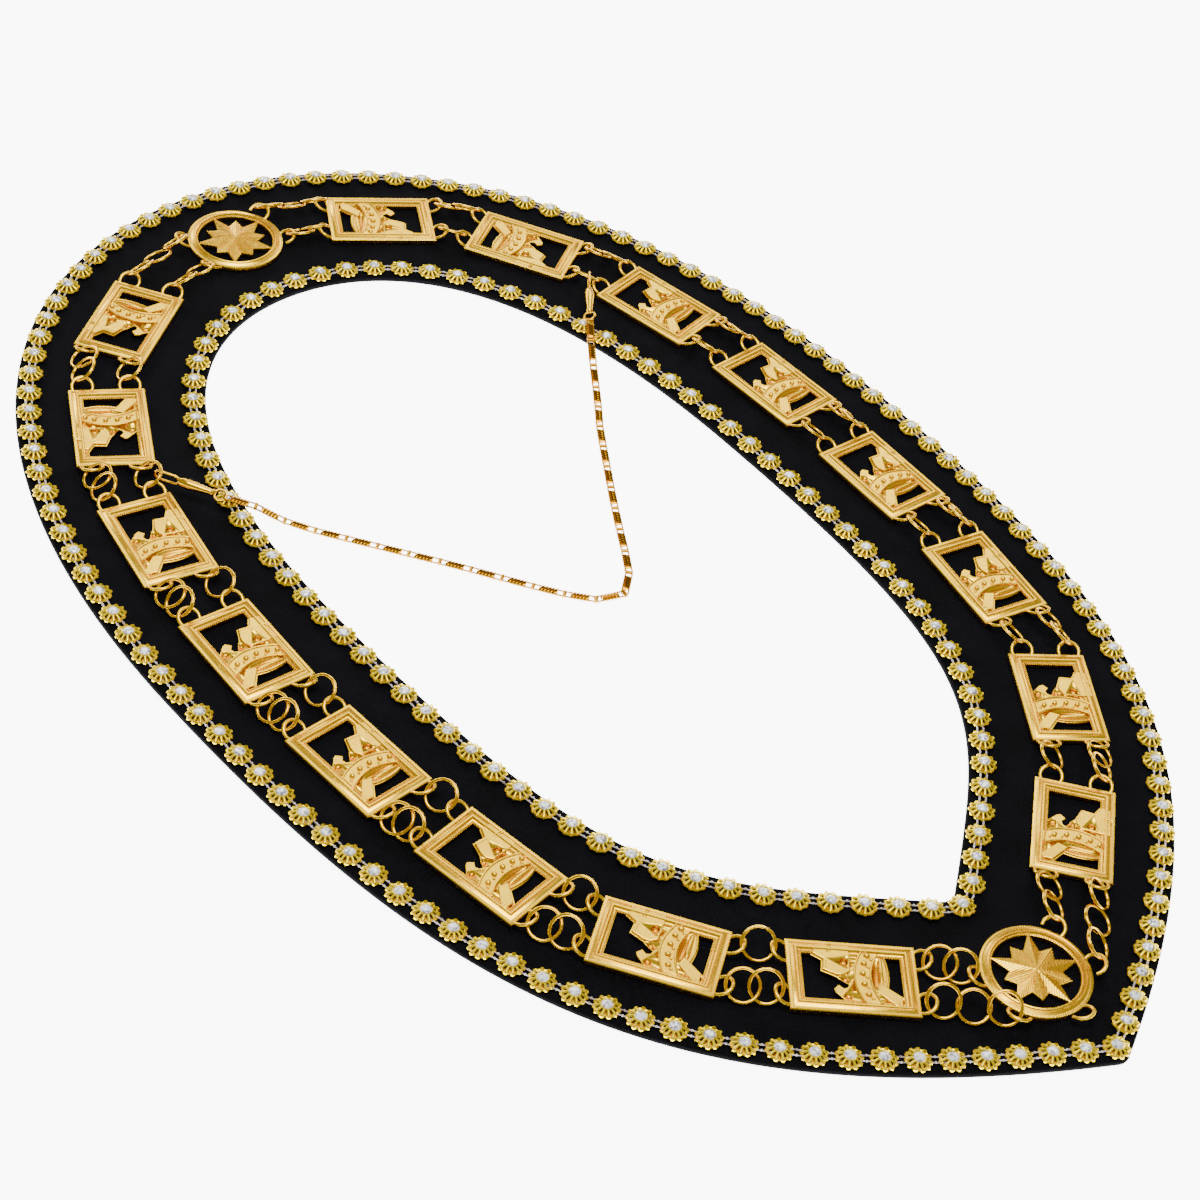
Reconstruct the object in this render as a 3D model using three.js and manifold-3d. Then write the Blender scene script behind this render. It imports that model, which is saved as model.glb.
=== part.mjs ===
// A pointed oval regalia collar lying flat: a velvet band with a neck opening, a chain of pierced
// plates and two star medallions joined by double strands of rings, two rosette trims along the
// edges, and a keeper chain clipped across the opening.
// Millimetres, +Z up, the point of the collar toward -Y and the back of the neck toward +Y.
import * as THREE from 'three';
import { mergeVertices } from 'three/addons/utils/BufferGeometryUtils.js';
import Module from 'manifold-3d';

const wasm = await Module();
wasm.setup();

// Driving dimensions of the velvet band
const collarWidth = 349;
const collarLength = 554;
const sideBand = 77;
const backBand = 77;
const frontBand = 83;
const velvetThickness = 2.5;
const seatGap = 0.3;
// The widest place lies this far from the middle of the length, toward the back
const widestPlace = 33.2;

// Edge trims: rosettes in a row, carried here as one low strip each
const trimWidth = 9.6;
const trimTopWidth = 4.4;
const trimHeight = 3.4;
const trimInset = 5.2;
const outerTrimSteps = 56;
const innerTrimSteps = 44;

// Plates
const plateLength = 45;
const plateWidth = 30;
const plateEdgeHeight = 2.2;
const plateRidgeHeight = 2.9;
const plateLipHeight = 1.6;
const plateBorder = 5.6;
const plateRidgeInset = 2.4;
const emblemSheet = 1;
const sheetLift = 0.3;
const crownHeight = 2.3;
const emblemOverlap = 1.2;

// Medallions
const medallionRadius = 20;
const medallionBorder = 4.3;
const medallionRidgeInset = 2.3;
const starInnerRadius = 9.3;
const starShortRadius = 12.6;
const starTipHeight = 1.9;
const starValleyHeight = 1.5;
const starCentreHeight = 3;
const starSink = 0.9;
const starPoints = 5;
const medallionSides = 20;
const frontMedallionInset = 43.65;
const backMedallionInset = 37.35;

// The plates' line, between the neck and the outer edge, and where it meets the middle
const chainShare = 0.52;
const chainFrontInset = 41;
const chainBackInset = 38;
// As many plates stand on each side as leave at least this much between them
const plateGap = 20.5;

// Loops soldered to the plates and medallions, and the free rings between them
const loopRadius = 4.6;
const loopWire = 1.2;
const loopSink = 0.64;
const loopTilt = 27;
const loopSpan = 250;
const loopSteps = 5;
const loopSpread = 9.3;
const loopFanAngle = 27;
const ringRadius = 6.2;
const ringWire = 1;
const ringSides = 10;
const wireSides = 5;
const ringRoll = 37;
const rollStep = 6;
const ringReachSlack = 5.7;
const ringReachTaut = 7.8;
// One ring spans up to this from loop to loop, and each ring more adds one pitch
const singleRingSpan = 16.75;
const ringPitch = 10.5;
// The spans of a slack and of a taut strand of two rings, and of three
const slackPair = 16;
const tautPair = 28;
const slackTriple = 33;
const tautTriple = 40;

// Keeper chain and its two clips
const keeperWidth = 3;
const keeperSides = 8;
const keeperSteps = 40;
const clipSleeveLength = 15;
const clipSleeveRadius = 2.1;
const clipNeckRadius = 1.3;
const clipLoopLength = 9.5;
const clipLoopHeight = 3.9;
const clipWire = 1;
const clipBight = 2.3;
const clipCorner = 1.5;
const clipShoulder = 1.5;
const clipFootDepth = 1.2;
const clipFootRise = 0.7;
const clipEyeRadius = 1.6;
const clipEyeSink = 0.2;

// The keeper chain's route, chosen by hand from the left clip to the right one. Rise is the height
// of its middle above where it lies on the surface.
const keeperRoute = [
  { x: -90.5, y: 94.5, rise: 5.4 }, { x: -86.5, y: 90, rise: 2.5 },
  { x: -81, y: 83.5, rise: 0.4 }, { x: -74, y: 74.5, rise: 0 },
  { x: -58.5, y: 54.5, rise: 0 }, { x: -41.5, y: 32.5, rise: 0 },
  { x: -22.5, y: 6.5, rise: 0 }, { x: -11.5, y: -6.5, rise: 0 },
  { x: -3, y: -12.5, rise: 0 }, { x: 5, y: -12, rise: 0 },
  { x: 12, y: -5, rise: 0 }, { x: 31, y: 25.5, rise: 0 },
  { x: 46, y: 48.5, rise: 0 }, { x: 60, y: 69.5, rise: 0 },
  { x: 69, y: 81, rise: 0 }, { x: 76.5, y: 92, rise: 0.4 },
  { x: 81.5, y: 99.5, rise: 2.5 }, { x: 86, y: 106.5, rise: 5.4 },
];
// Each clip holds the neck-side ring nearest to its hook, and points at its aim as it crosses the
// inner trim, this far above it
const keeperHook = { left: { x: -116, y: 132 }, right: { x: 113, y: 142 } };
const keeperAim = { left: { x: -95.5, y: 99 }, right: { x: 90.5, y: 113 } };
const keeperTrimClearance = 0.7;

const velvet = new THREE.MeshStandardMaterial({ color: 0x0b0c12, roughness: 0.95, metalness: 0 });
const paleGold = new THREE.MeshStandardMaterial({ color: 0xd9bf78, roughness: 0.35, metalness: 1 });
const lemonGold = new THREE.MeshStandardMaterial({ color: 0xd6b93a, roughness: 0.3, metalness: 1 });
const deepGold = new THREE.MeshStandardMaterial({ color: 0xc8964a, roughness: 0.3, metalness: 1 });

const collar = new THREE.Group();
const up = new THREE.Vector3(0, 0, 1);
const radians = THREE.MathUtils.degToRad;
const mix = THREE.MathUtils.lerp;
const outwardSign = { left: -1, right: 1 };
const weldDistance = 1e-4;
const plateBase = velvetThickness + seatGap;

function addPiece(name, geometry, material) {
  const mesh = new THREE.Mesh(geometry, material);
  mesh.name = name;
  collar.add(mesh);
  return mesh;
}

function toSolid(geometry) {
  const bare = new THREE.BufferGeometry();
  bare.setAttribute('position', geometry.getAttribute('position').clone());
  if (geometry.index) bare.setIndex(geometry.index.clone());
  const merged = mergeVertices(bare, weldDistance);
  return new wasm.Manifold(new wasm.Mesh({
    numProp: 3,
    vertProperties: new Float32Array(merged.getAttribute('position').array),
    triVerts: new Uint32Array(merged.index.array),
  }));
}

function toGeometry(solid) {
  const mesh = solid.getMesh();
  const geometry = new THREE.BufferGeometry();
  geometry.setAttribute('position', new THREE.BufferAttribute(mesh.vertProperties, 3));
  geometry.setIndex(new THREE.BufferAttribute(mesh.triVerts, 1));
  geometry.computeVertexNormals();
  return geometry;
}

function join(geometries) {
  let solid = toSolid(geometries[0]);
  for (const geometry of geometries.slice(1)) solid = solid.add(toSolid(geometry));
  return toGeometry(solid);
}

// Each edge of the velvet is drawn as its right half, two cubic curves from the front point round
// the widest place to the back. Handles are shares of that edge's own half width and length.
const handles = {
  outer: { slopeX: 0.826, slopeY: 0.127, front: 0.292, back: 0.304, crown: 0.483 },
  neck: { slopeX: 0.777, slopeY: 0.15, front: 0.398, back: 0.373, crown: 0.34 },
};

function edgeCurve(halfWidth, frontY, backY, share) {
  const length = backY - frontY;
  const point = (x, y) => new THREE.Vector2(x, y);
  const curve = new THREE.CurvePath();
  curve.add(new THREE.CubicBezierCurve(
    point(0, frontY),
    point(share.slopeX * halfWidth, frontY + share.slopeY * length),
    point(halfWidth, widestPlace - share.front * length),
    point(halfWidth, widestPlace),
  ));
  curve.add(new THREE.CubicBezierCurve(
    point(halfWidth, widestPlace),
    point(halfWidth, widestPlace + share.back * length),
    point(share.crown * halfWidth, backY),
    point(0, backY),
  ));
  return curve;
}

const neckHalfWidth = collarWidth / 2 - sideBand;
const neckFront = frontBand - collarLength / 2;
const neckBack = collarLength / 2 - backBand;
const outerEdge = edgeCurve(collarWidth / 2, -collarLength / 2, collarLength / 2, handles.outer);
const neckEdge = edgeCurve(neckHalfWidth, neckFront, neckBack, handles.neck);

// A closed loop of points beside an edge, offset to the left of the travel from front to back,
// and mirrored for the other half. Points nearer the middle than this are left to the two ends.
const endClearance = 1;
function closedLine(curve, offset, steps) {
  const half = [];
  for (let i = 0; i <= steps / 2; i += 1) {
    const at = i / (steps / 2);
    const place = curve.getPointAt(at);
    const along = curve.getTangentAt(at);
    half.push(new THREE.Vector2(place.x - along.y * offset, place.y + along.x * offset));
  }
  const first = curve.getTangentAt(0);
  half[0].set(0, curve.getPointAt(0).y + offset / first.x);
  half[half.length - 1].x = 0;
  const last = half.length - 1;
  const right = half.filter((point, i) => i === 0 || i === last || point.x > endClearance);
  const left = right.slice(1, -1).reverse().map((point) => new THREE.Vector2(-point.x, point.y));
  return right.concat(left);
}

// A ring of material along a closed line, with a convex section given across the line and up
function stripGeometry(line, section) {
  const positions = [];
  const count = line.length;
  line.forEach((point, i) => {
    const before = line[(i + count - 1) % count];
    const after = line[(i + 1) % count];
    const incoming = point.clone().sub(before).normalize();
    const outgoing = after.clone().sub(point).normalize();
    const along = incoming.clone().add(outgoing).normalize();
    const miter = 1 / along.dot(incoming);
    section.forEach(({ across, height }) => {
      const reach = across * miter;
      positions.push(point.x + along.y * reach, point.y - along.x * reach, height);
    });
  });
  const index = [];
  const sides = section.length;
  for (let i = 0; i < count; i += 1) {
    for (let k = 0; k < sides; k += 1) {
      const a = i * sides + k;
      const b = i * sides + ((k + 1) % sides);
      const c = ((i + 1) % count) * sides + ((k + 1) % sides);
      const d = ((i + 1) % count) * sides + k;
      index.push(a, d, c, a, c, b);
    }
  }
  const geometry = new THREE.BufferGeometry();
  geometry.setAttribute('position', new THREE.BufferAttribute(new Float32Array(positions), 3));
  geometry.setIndex(index);
  geometry.computeVertexNormals();
  return geometry;
}

// Velvet band with its neck opening
function velvetGeometry() {
  const shape = new THREE.Shape(closedLine(outerEdge, 0, outerTrimSteps));
  shape.holes.push(new THREE.Path(closedLine(neckEdge, 0, innerTrimSteps)));
  return new THREE.ExtrudeGeometry(shape, { depth: velvetThickness, bevelEnabled: false });
}
addPiece('velvet_band', velvetGeometry(), velvet);

// Rosette trims
const trimSection = [
  { across: -trimWidth / 2, height: plateBase },
  { across: trimWidth / 2, height: plateBase },
  { across: trimTopWidth / 2, height: plateBase + trimHeight },
  { across: -trimTopWidth / 2, height: plateBase + trimHeight },
];
const outerTrimLine = closedLine(outerEdge, trimInset, outerTrimSteps);
const innerTrimLine = closedLine(neckEdge, -trimInset, innerTrimSteps);
addPiece('outer_rosette_trim', stripGeometry(outerTrimLine, trimSection), lemonGold);
addPiece('inner_rosette_trim', stripGeometry(innerTrimLine, trimSection), lemonGold);

// A soldered loop of wire in the plane of its owner, pointing along +X from the edge at x = 0 and
// tilted up a little, so that a ring can pass under it. Its ends are sunk in the edge.
const loopReach = -loopRadius * Math.cos(radians(loopSpan / 2)) - loopSink;
function loopGeometry() {
  const points = [];
  for (let i = 0; i <= loopSteps; i += 1) {
    const angle = radians(-loopSpan / 2 + (loopSpan * i) / loopSteps);
    points.push([loopReach + loopRadius * Math.cos(angle), loopRadius * Math.sin(angle)]);
  }
  const geometry = wireGeometry(points.map(([x, y]) => new THREE.Vector3(x, y, 0)), loopWire, false);
  geometry.rotateY(-radians(loopTilt));
  return geometry;
}

// Wire with straight runs between its points, mitred at the bends
function wireGeometry(points, diameter, closed) {
  const count = points.length;
  const positions = [];
  const normal = new THREE.Vector3().crossVectors(
    points[1].clone().sub(points[0]),
    points[2].clone().sub(points[1]),
  ).normalize();
  points.forEach((point, i) => {
    const before = closed || i > 0 ? points[(i + count - 1) % count] : null;
    const after = closed || i < count - 1 ? points[(i + 1) % count] : null;
    const incoming = point.clone().sub(before || after).multiplyScalar(before ? 1 : -1).normalize();
    const outgoing = after ? after.clone().sub(point).normalize() : incoming.clone();
    const along = incoming.clone().add(outgoing).normalize();
    const miter = 1 / along.dot(incoming);
    const side = new THREE.Vector3().crossVectors(normal, along);
    for (let k = 0; k < wireSides; k += 1) {
      const turn = (2 * Math.PI * k) / wireSides;
      const at = point.clone()
        .addScaledVector(side, (Math.cos(turn) * miter * diameter) / 2)
        .addScaledVector(normal, (Math.sin(turn) * diameter) / 2);
      positions.push(at.x, at.y, at.z);
    }
  });
  const index = [];
  const spans = closed ? count : count - 1;
  for (let i = 0; i < spans; i += 1) {
    for (let k = 0; k < wireSides; k += 1) {
      const a = i * wireSides + k;
      const b = i * wireSides + ((k + 1) % wireSides);
      const c = ((i + 1) % count) * wireSides + ((k + 1) % wireSides);
      const d = ((i + 1) % count) * wireSides + k;
      index.push(a, c, d, a, b, c);
    }
  }
  if (!closed) {
    const last = (count - 1) * wireSides;
    for (let k = 1; k < wireSides - 1; k += 1) {
      index.push(0, k + 1, k);
      index.push(last, last + k, last + k + 1);
    }
  }
  const geometry = new THREE.BufferGeometry();
  geometry.setAttribute('position', new THREE.BufferAttribute(new Float32Array(positions), 3));
  geometry.setIndex(index);
  geometry.computeVertexNormals();
  return geometry;
}

// Emblem outlines, the top of the emblem toward +Y, as shares of the half width across and the half
// length along of the sheet that fills the frame's opening
const pierceOutline = [
  { across: -1, along: -1 },
  { across: -0.42, along: -1 },
  { across: -0.1, along: -0.66 },
  { across: 1, along: -0.66 },
  { across: 1, along: 0.78 },
  { across: 0.75, along: 0.78 },
  { across: 0.48, along: 0.56 },
  { across: 0.17, along: 0.6 },
  { across: 0, along: 0.27 },
  { across: -0.28, along: 0.07 },
  { across: -0.44, along: 0.14 },
  { across: -0.41, along: 0.3 },
  { across: -0.59, along: 0.36 },
  { across: -0.89, along: 0.17 },
  { across: -1, along: 0.1 },
];
const crownBand = [
  { across: -0.86, along: -0.15 },
  { across: -0.86, along: -0.47 },
  { across: -0.28, along: -0.34 },
  { across: 0.28, along: -0.34 },
  { across: 0.86, along: -0.47 },
  { across: 0.86, along: -0.15 },
  { across: 0.28, along: 0 },
  { across: -0.28, along: 0 },
];

function emblemGeometry(outline, base, top) {
  const halfWidth = plateWidth / 2 - plateBorder + emblemOverlap;
  const halfLength = plateLength / 2 - plateBorder + emblemOverlap;
  const shape = new THREE.Shape(outline.map(({ across, along }) => (
    new THREE.Vector2(across * halfWidth, along * halfLength)
  )));
  const geometry = new THREE.ExtrudeGeometry(shape, { depth: top - base, bevelEnabled: false });
  return geometry.translate(0, 0, base);
}

function plateFrameGeometry() {
  const x = plateWidth / 2;
  const y = plateLength / 2;
  const line = [[x, y], [-x, y], [-x, -y], [x, -y]].map((corner) => new THREE.Vector2(...corner));
  const section = [
    { across: 0, height: 0 },
    { across: 0, height: plateEdgeHeight },
    { across: -plateRidgeInset, height: plateRidgeHeight },
    { across: -plateBorder, height: plateLipHeight },
    { across: -plateBorder, height: 0 },
  ];
  return stripGeometry(line, section);
}

function plateGeometry() {
  const pieces = [
    plateFrameGeometry(),
    emblemGeometry(pierceOutline, sheetLift, emblemSheet),
    emblemGeometry(crownBand, emblemSheet / 2, crownHeight),
  ];
  for (const end of [1, -1]) {
    for (const side of [1, -1]) {
      const loop = loopGeometry();
      loop.rotateZ((end * Math.PI) / 2);
      loop.translate(side * loopSpread, (end * plateLength) / 2, plateRidgeHeight / 2);
      pieces.push(loop);
    }
  }
  return join(pieces);
}

// Medallion: a ring with a sloping face round a ten-pointed star, long points reaching the ring
function medallionGeometry(loopAngles) {
  const inner = medallionRadius - medallionBorder;
  const profile = [
    new THREE.Vector2(inner, 0),
    new THREE.Vector2(medallionRadius, 0),
    new THREE.Vector2(medallionRadius, plateEdgeHeight),
    new THREE.Vector2(medallionRadius - medallionRidgeInset, plateRidgeHeight),
    new THREE.Vector2(inner, plateLipHeight),
    new THREE.Vector2(inner, 0),
  ];
  const ring = new THREE.LatheGeometry(profile, medallionSides);
  ring.rotateX(Math.PI / 2);
  const pieces = [ring, starGeometry(inner + starSink)];
  for (const angle of loopAngles) {
    const loop = loopGeometry();
    loop.translate(medallionRadius, 0, plateRidgeHeight / 2);
    loop.rotateZ(radians(angle));
    pieces.push(loop);
  }
  return join(pieces);
}

// A star of long and short points by turns, with a valley after each, one long point toward -Y
function starGeometry(longRadius) {
  const positions = [0, 0, sheetLift, 0, 0, starCentreHeight];
  const radii = [longRadius, starInnerRadius, starShortRadius, starInnerRadius];
  const corners = starPoints * radii.length;
  for (let i = 0; i < corners; i += 1) {
    const radius = radii[i % radii.length];
    const turn = -Math.PI / 2 + (2 * Math.PI * i) / corners;
    const height = i % 2 ? starValleyHeight : starTipHeight;
    positions.push(radius * Math.cos(turn), radius * Math.sin(turn), sheetLift);
    positions.push(radius * Math.cos(turn), radius * Math.sin(turn), height);
  }
  const index = [];
  for (let i = 0; i < corners; i += 1) {
    const a = 2 + 2 * i;
    const b = 2 + 2 * ((i + 1) % corners);
    index.push(0, b, a, 1, a + 1, b + 1, a, b, b + 1, a, b + 1, a + 1);
  }
  const geometry = new THREE.BufferGeometry();
  geometry.setAttribute('position', new THREE.BufferAttribute(new Float32Array(positions), 3));
  geometry.setIndex(index);
  geometry.computeVertexNormals();
  return geometry;
}

// The plates stand evenly along a line between the two trims. Each row is one plate on each side,
// counted from the front: how far it has slipped toward the back, in millimetres, its small turn in
// degrees, and whether the emblem's top is toward the front.
const plateRows = [
  { leftSlip: 0, leftTurn: 1.6, rightSlip: 5.3, rightTurn: 2.1, flip: false },
  { leftSlip: -0.1, leftTurn: -1.6, rightSlip: 5.9, rightTurn: -2.5, flip: false },
  { leftSlip: -2, leftTurn: 3.9, rightSlip: 6.4, rightTurn: 0.9, flip: false },
  { leftSlip: -4.3, leftTurn: 0, rightSlip: 5.8, rightTurn: 0.7, flip: false },
  { leftSlip: -5.7, leftTurn: 2, rightSlip: 5, rightTurn: 0.3, flip: false },
  { leftSlip: -6.4, leftTurn: -0.4, rightSlip: 3.8, rightTurn: -1.2, flip: false },
  { leftSlip: -7.1, leftTurn: 1.3, rightSlip: 3.7, rightTurn: 0.3, flip: true },
  { leftSlip: -7.1, leftTurn: 1, rightSlip: 0.7, rightTurn: 2.2, flip: true },
];

const chainFront = chainFrontInset - collarLength / 2;
const chainBack = collarLength / 2 - chainBackInset;
const frontMedallionY = frontMedallionInset - collarLength / 2;
const backMedallionY = collarLength / 2 - backMedallionInset;
const chainHalfWidth = mix(neckHalfWidth, collarWidth / 2, chainShare);
const chainHandles = {};
for (const key of Object.keys(handles.outer)) {
  chainHandles[key] = mix(handles.neck[key], handles.outer[key], chainShare);
}
const chainLine = edgeCurve(chainHalfWidth, chainFront, chainBack, chainHandles);

// A frame of reference on the chain line: place, and the heading toward the back of the neck
function chainPlace(side, share, turn) {
  const place = chainLine.getPointAt(share);
  const along = chainLine.getTangentAt(share);
  const heading = Math.atan2(along.y, along.x) + radians(turn);
  const mirrored = side === 'left';
  return {
    x: mirrored ? -place.x : place.x,
    y: place.y,
    heading: mirrored ? Math.PI - heading : heading,
  };
}

const lineLength = chainLine.getLength();
const spareLength = lineLength - 2 * medallionRadius - plateGap;
const plateCount = Math.floor(spareLength / (plateLength + plateGap));
const plateShape = plateGeometry();
const places = { left: [], right: [] };
for (const side of ['left', 'right']) {
  for (let i = 0; i < plateCount; i += 1) {
    const row = plateRows[Math.min(i, plateRows.length - 1)];
    const share = (i + 1) / (plateCount + 1) + row[`${side}Slip`] / lineLength;
    const place = chainPlace(side, share, row[`${side}Turn`]);
    const mesh = addPiece(`plate_${side}_${i + 1}`, plateShape, paleGold);
    mesh.position.set(place.x, place.y, plateBase);
    mesh.rotation.z = place.heading - Math.PI / 2 + (row.flip ? Math.PI : 0);
    places[side].push(place);
  }
}

const fan = [loopFanAngle, 180 - loopFanAngle, 180 + loopFanAngle, -loopFanAngle];
const frontMedallion = addPiece('front_medallion', medallionGeometry([...fan, -90]), paleGold);
frontMedallion.position.set(0, frontMedallionY, plateBase);
const backMedallion = addPiece('back_medallion', medallionGeometry(fan), paleGold);
backMedallion.position.set(0, backMedallionY, plateBase);
backMedallion.rotation.z = Math.PI;

// Centre of a soldered loop: of a plate's end, or of a medallion
const loopDrop = loopReach * Math.cos(radians(loopTilt));
const loopLift = plateBase + plateRidgeHeight / 2 + loopReach * Math.sin(radians(loopTilt));
function plateLoop(side, place, end, strand) {
  const forward = new THREE.Vector2(Math.cos(place.heading), Math.sin(place.heading));
  const outward = new THREE.Vector2(forward.y, -forward.x).multiplyScalar(outwardSign[side]);
  const lateral = strand === 'outer' ? loopSpread : -loopSpread;
  const spot = new THREE.Vector2(place.x, place.y)
    .addScaledVector(forward, end * (plateLength / 2 + loopDrop))
    .addScaledVector(outward, lateral);
  return new THREE.Vector3(spot.x, spot.y, loopLift);
}
function medallionLoop(side, y, strand, front) {
  const outerDown = (strand === 'outer') === front;
  const fanAngle = outerDown ? -loopFanAngle : loopFanAngle;
  const angle = radians(side === 'left' ? 180 - fanAngle : fanAngle);
  const reach = medallionRadius + loopDrop;
  return new THREE.Vector3(reach * Math.cos(angle), y + reach * Math.sin(angle), loopLift);
}

// How many free rings a strand of this length takes
function ringCount(length) {
  return 1 + Math.max(0, Math.ceil((length - singleRingSpan) / ringPitch));
}

function ringGeometry({ centre, along, roll }) {
  const points = [];
  for (let i = 0; i < ringSides; i += 1) {
    const turn = (2 * Math.PI * (i + 0.5)) / ringSides;
    points.push(new THREE.Vector3(ringRadius * Math.cos(turn), ringRadius * Math.sin(turn), 0));
  }
  const geometry = wireGeometry(points, ringWire, true);
  geometry.rotateX(radians(roll));
  geometry.rotateZ(Math.atan2(along.y, along.x));
  geometry.translate(centre.x, centre.y, centre.z);
  return geometry;
}

// From a soldered loop's centre to that of the ring in it. A single ring hangs midway, and in a
// longer strand the reach grows as the strand is drawn from slack to taut.
function endReach(length, count) {
  if (count === 1) return length / 2;
  const more = Math.max(count - 3, 0) * ringPitch;
  const slack = count === 2 ? slackPair : slackTriple + more;
  const taut = count === 2 ? tautPair : tautTriple + more;
  return mix(ringReachSlack, ringReachTaut, (length - slack) / (taut - slack));
}

function rollOf(i, count) {
  if (count === 1) return ringRoll;
  return i % 2 ? ringRoll - rollStep : ringRoll + rollStep;
}

function ringHeight(roll) {
  return plateBase + ringWire / 2 + ringRadius * Math.sin(radians(roll));
}

// Rings between two soldered loops, evenly spaced along the straight line between them. Their
// neck side is tilted up by turns more and less, so that each passes over and under the next and
// just touches it.
function ringPlaces(from, to, side) {
  const chord = new THREE.Vector3().subVectors(to, from).setZ(0);
  const along = chord.clone().normalize();
  const length = chord.length();
  const count = ringCount(length);
  const reach = endReach(length, count);
  const rings = [];
  for (let i = 0; i < count; i += 1) {
    const roll = rollOf(i, count);
    const distance = count === 1 ? reach : mix(reach, length - reach, i / (count - 1));
    const centre = from.clone().addScaledVector(along, distance).setZ(ringHeight(roll));
    rings.push({ centre, along, roll: outwardSign[side] * roll });
  }
  return rings;
}

const neckRings = { left: [], right: [] };
for (const side of ['left', 'right']) {
  const stops = places[side];
  for (const strand of ['inner', 'outer']) {
    for (let gap = 0; gap <= stops.length; gap += 1) {
      const from = gap === 0
        ? medallionLoop(side, frontMedallionY, strand, true)
        : plateLoop(side, stops[gap - 1], 1, strand);
      const to = gap === stops.length
        ? medallionLoop(side, backMedallionY, strand, false)
        : plateLoop(side, stops[gap], -1, strand);
      const rings = ringPlaces(from, to, side);
      addPiece(`rings_${side}_${gap + 1}_${strand}`, join(rings.map(ringGeometry)), deepGold);
      if (strand === 'inner') neckRings[side].push(...rings);
    }
  }
}

// Keeper chain. It hooks on a neck-side ring on both sides, passes over the trim and the edge of
// the velvet, and lies in a slack bow on the surface inside the neck opening.
const keeperRest = keeperWidth / 2;
const keeperOverTrim = plateBase + trimHeight + keeperTrimClearance + keeperRest;

// Place and heading of one clip: the spot on its ring's raised neck side that its wire holds, and
// the straight way from there to the end of the chain
function clipPlace(side) {
  const hook = new THREE.Vector3(keeperHook[side].x, keeperHook[side].y, 0);
  const apart = ({ centre }) => centre.clone().setZ(0).distanceTo(hook);
  const { centre, along, roll } = neckRings[side].reduce((best, ring) => (
    apart(ring) < apart(best) ? ring : best
  ));
  const tilt = radians(Math.abs(roll));
  const neckward = new THREE.Vector3(-along.y, along.x, 0).multiplyScalar(outwardSign[side]);
  const aim = new THREE.Vector3(keeperAim[side].x, keeperAim[side].y, keeperOverTrim);
  const away = aim.clone().sub(centre).setZ(0).normalize();
  const turn = Math.atan2(away.dot(neckward), away.dot(along));
  const held = centre.clone()
    .addScaledVector(along, ringRadius * Math.cos(turn))
    .addScaledVector(neckward, ringRadius * Math.sin(turn) * Math.cos(tilt));
  held.z += ringRadius * Math.sin(turn) * Math.sin(tilt);
  return { held, heading: aim.sub(held).normalize() };
}

// One clip along +X: a wire stirrup on edge with the held ring in its bight, a tapering sleeve
// and an eye for the chain. The origin is where the ring sits.
const sleeveStart = clipLoopLength - clipBight;
const eyeCentre = sleeveStart + clipSleeveLength + clipEyeRadius - clipEyeSink;
const clipTail = eyeCentre + clipEyeSink + clipEyeRadius + clipWire / 2 + seatGap;
function stirrupGeometry() {
  const half = clipLoopHeight / 2;
  const upper = [
    new THREE.Vector3(sleeveStart + clipFootDepth, 0, clipFootRise),
    new THREE.Vector3(sleeveStart - clipShoulder, 0, half),
    new THREE.Vector3(clipCorner - clipBight, 0, half),
    new THREE.Vector3(-clipBight, 0, half - clipCorner),
  ];
  const lower = upper.map(({ x, z }) => new THREE.Vector3(x, 0, -z)).reverse();
  return wireGeometry([...upper, ...lower], clipWire, true);
}

function clipGeometry() {
  const sleeve = new THREE.CylinderGeometry(
    clipNeckRadius, clipSleeveRadius, clipSleeveLength, ringSides);
  sleeve.rotateZ(-Math.PI / 2);
  sleeve.translate(sleeveStart + clipSleeveLength / 2, 0, 0);
  const eyePoints = [];
  for (let i = 0; i < ringSides; i += 1) {
    const turn = (2 * Math.PI * i) / ringSides;
    eyePoints.push(new THREE.Vector3(
      eyeCentre + clipEyeRadius * Math.cos(turn), clipEyeRadius * Math.sin(turn), 0));
  }
  return join([stirrupGeometry(), sleeve, wireGeometry(eyePoints, clipWire, true)]);
}

const clipShape = clipGeometry();
const keeperEnds = {};
for (const side of ['left', 'right']) {
  const { held, heading } = clipPlace(side);
  const clip = addPiece(`clip_${side}`, clipShape, deepGold);
  clip.position.copy(held);
  const level = new THREE.Vector3().crossVectors(up, heading).normalize();
  const across = new THREE.Vector3().crossVectors(heading, level);
  clip.quaternion.setFromRotationMatrix(new THREE.Matrix4().makeBasis(heading, level, across));
  keeperEnds[side] = held.clone().addScaledVector(heading, clipTail);
}

// A round section swept along a smooth line through the route's points
function keeperGeometry() {
  const lying = keeperRoute.map(({ x, y, rise }) => new THREE.Vector3(x, y, keeperRest + rise));
  const path = new THREE.CatmullRomCurve3(
    [keeperEnds.left, ...lying, keeperEnds.right], false, 'centripetal');
  const section = [];
  for (let i = 0; i < keeperSides; i += 1) {
    const turn = (2 * Math.PI * (i + 0.5)) / keeperSides;
    section.push(new THREE.Vector2(keeperRest * Math.cos(turn), keeperRest * Math.sin(turn)));
  }
  return new THREE.ExtrudeGeometry(new THREE.Shape(section), {
    steps: keeperSteps, bevelEnabled: false, extrudePath: path,
  });
}
addPiece('keeper_chain', keeperGeometry(), deepGold);

export default collar;
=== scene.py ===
import math

import bpy
from mathutils import Matrix, Vector, noise
from mathutils.geometry import interpolate_bezier


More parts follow.
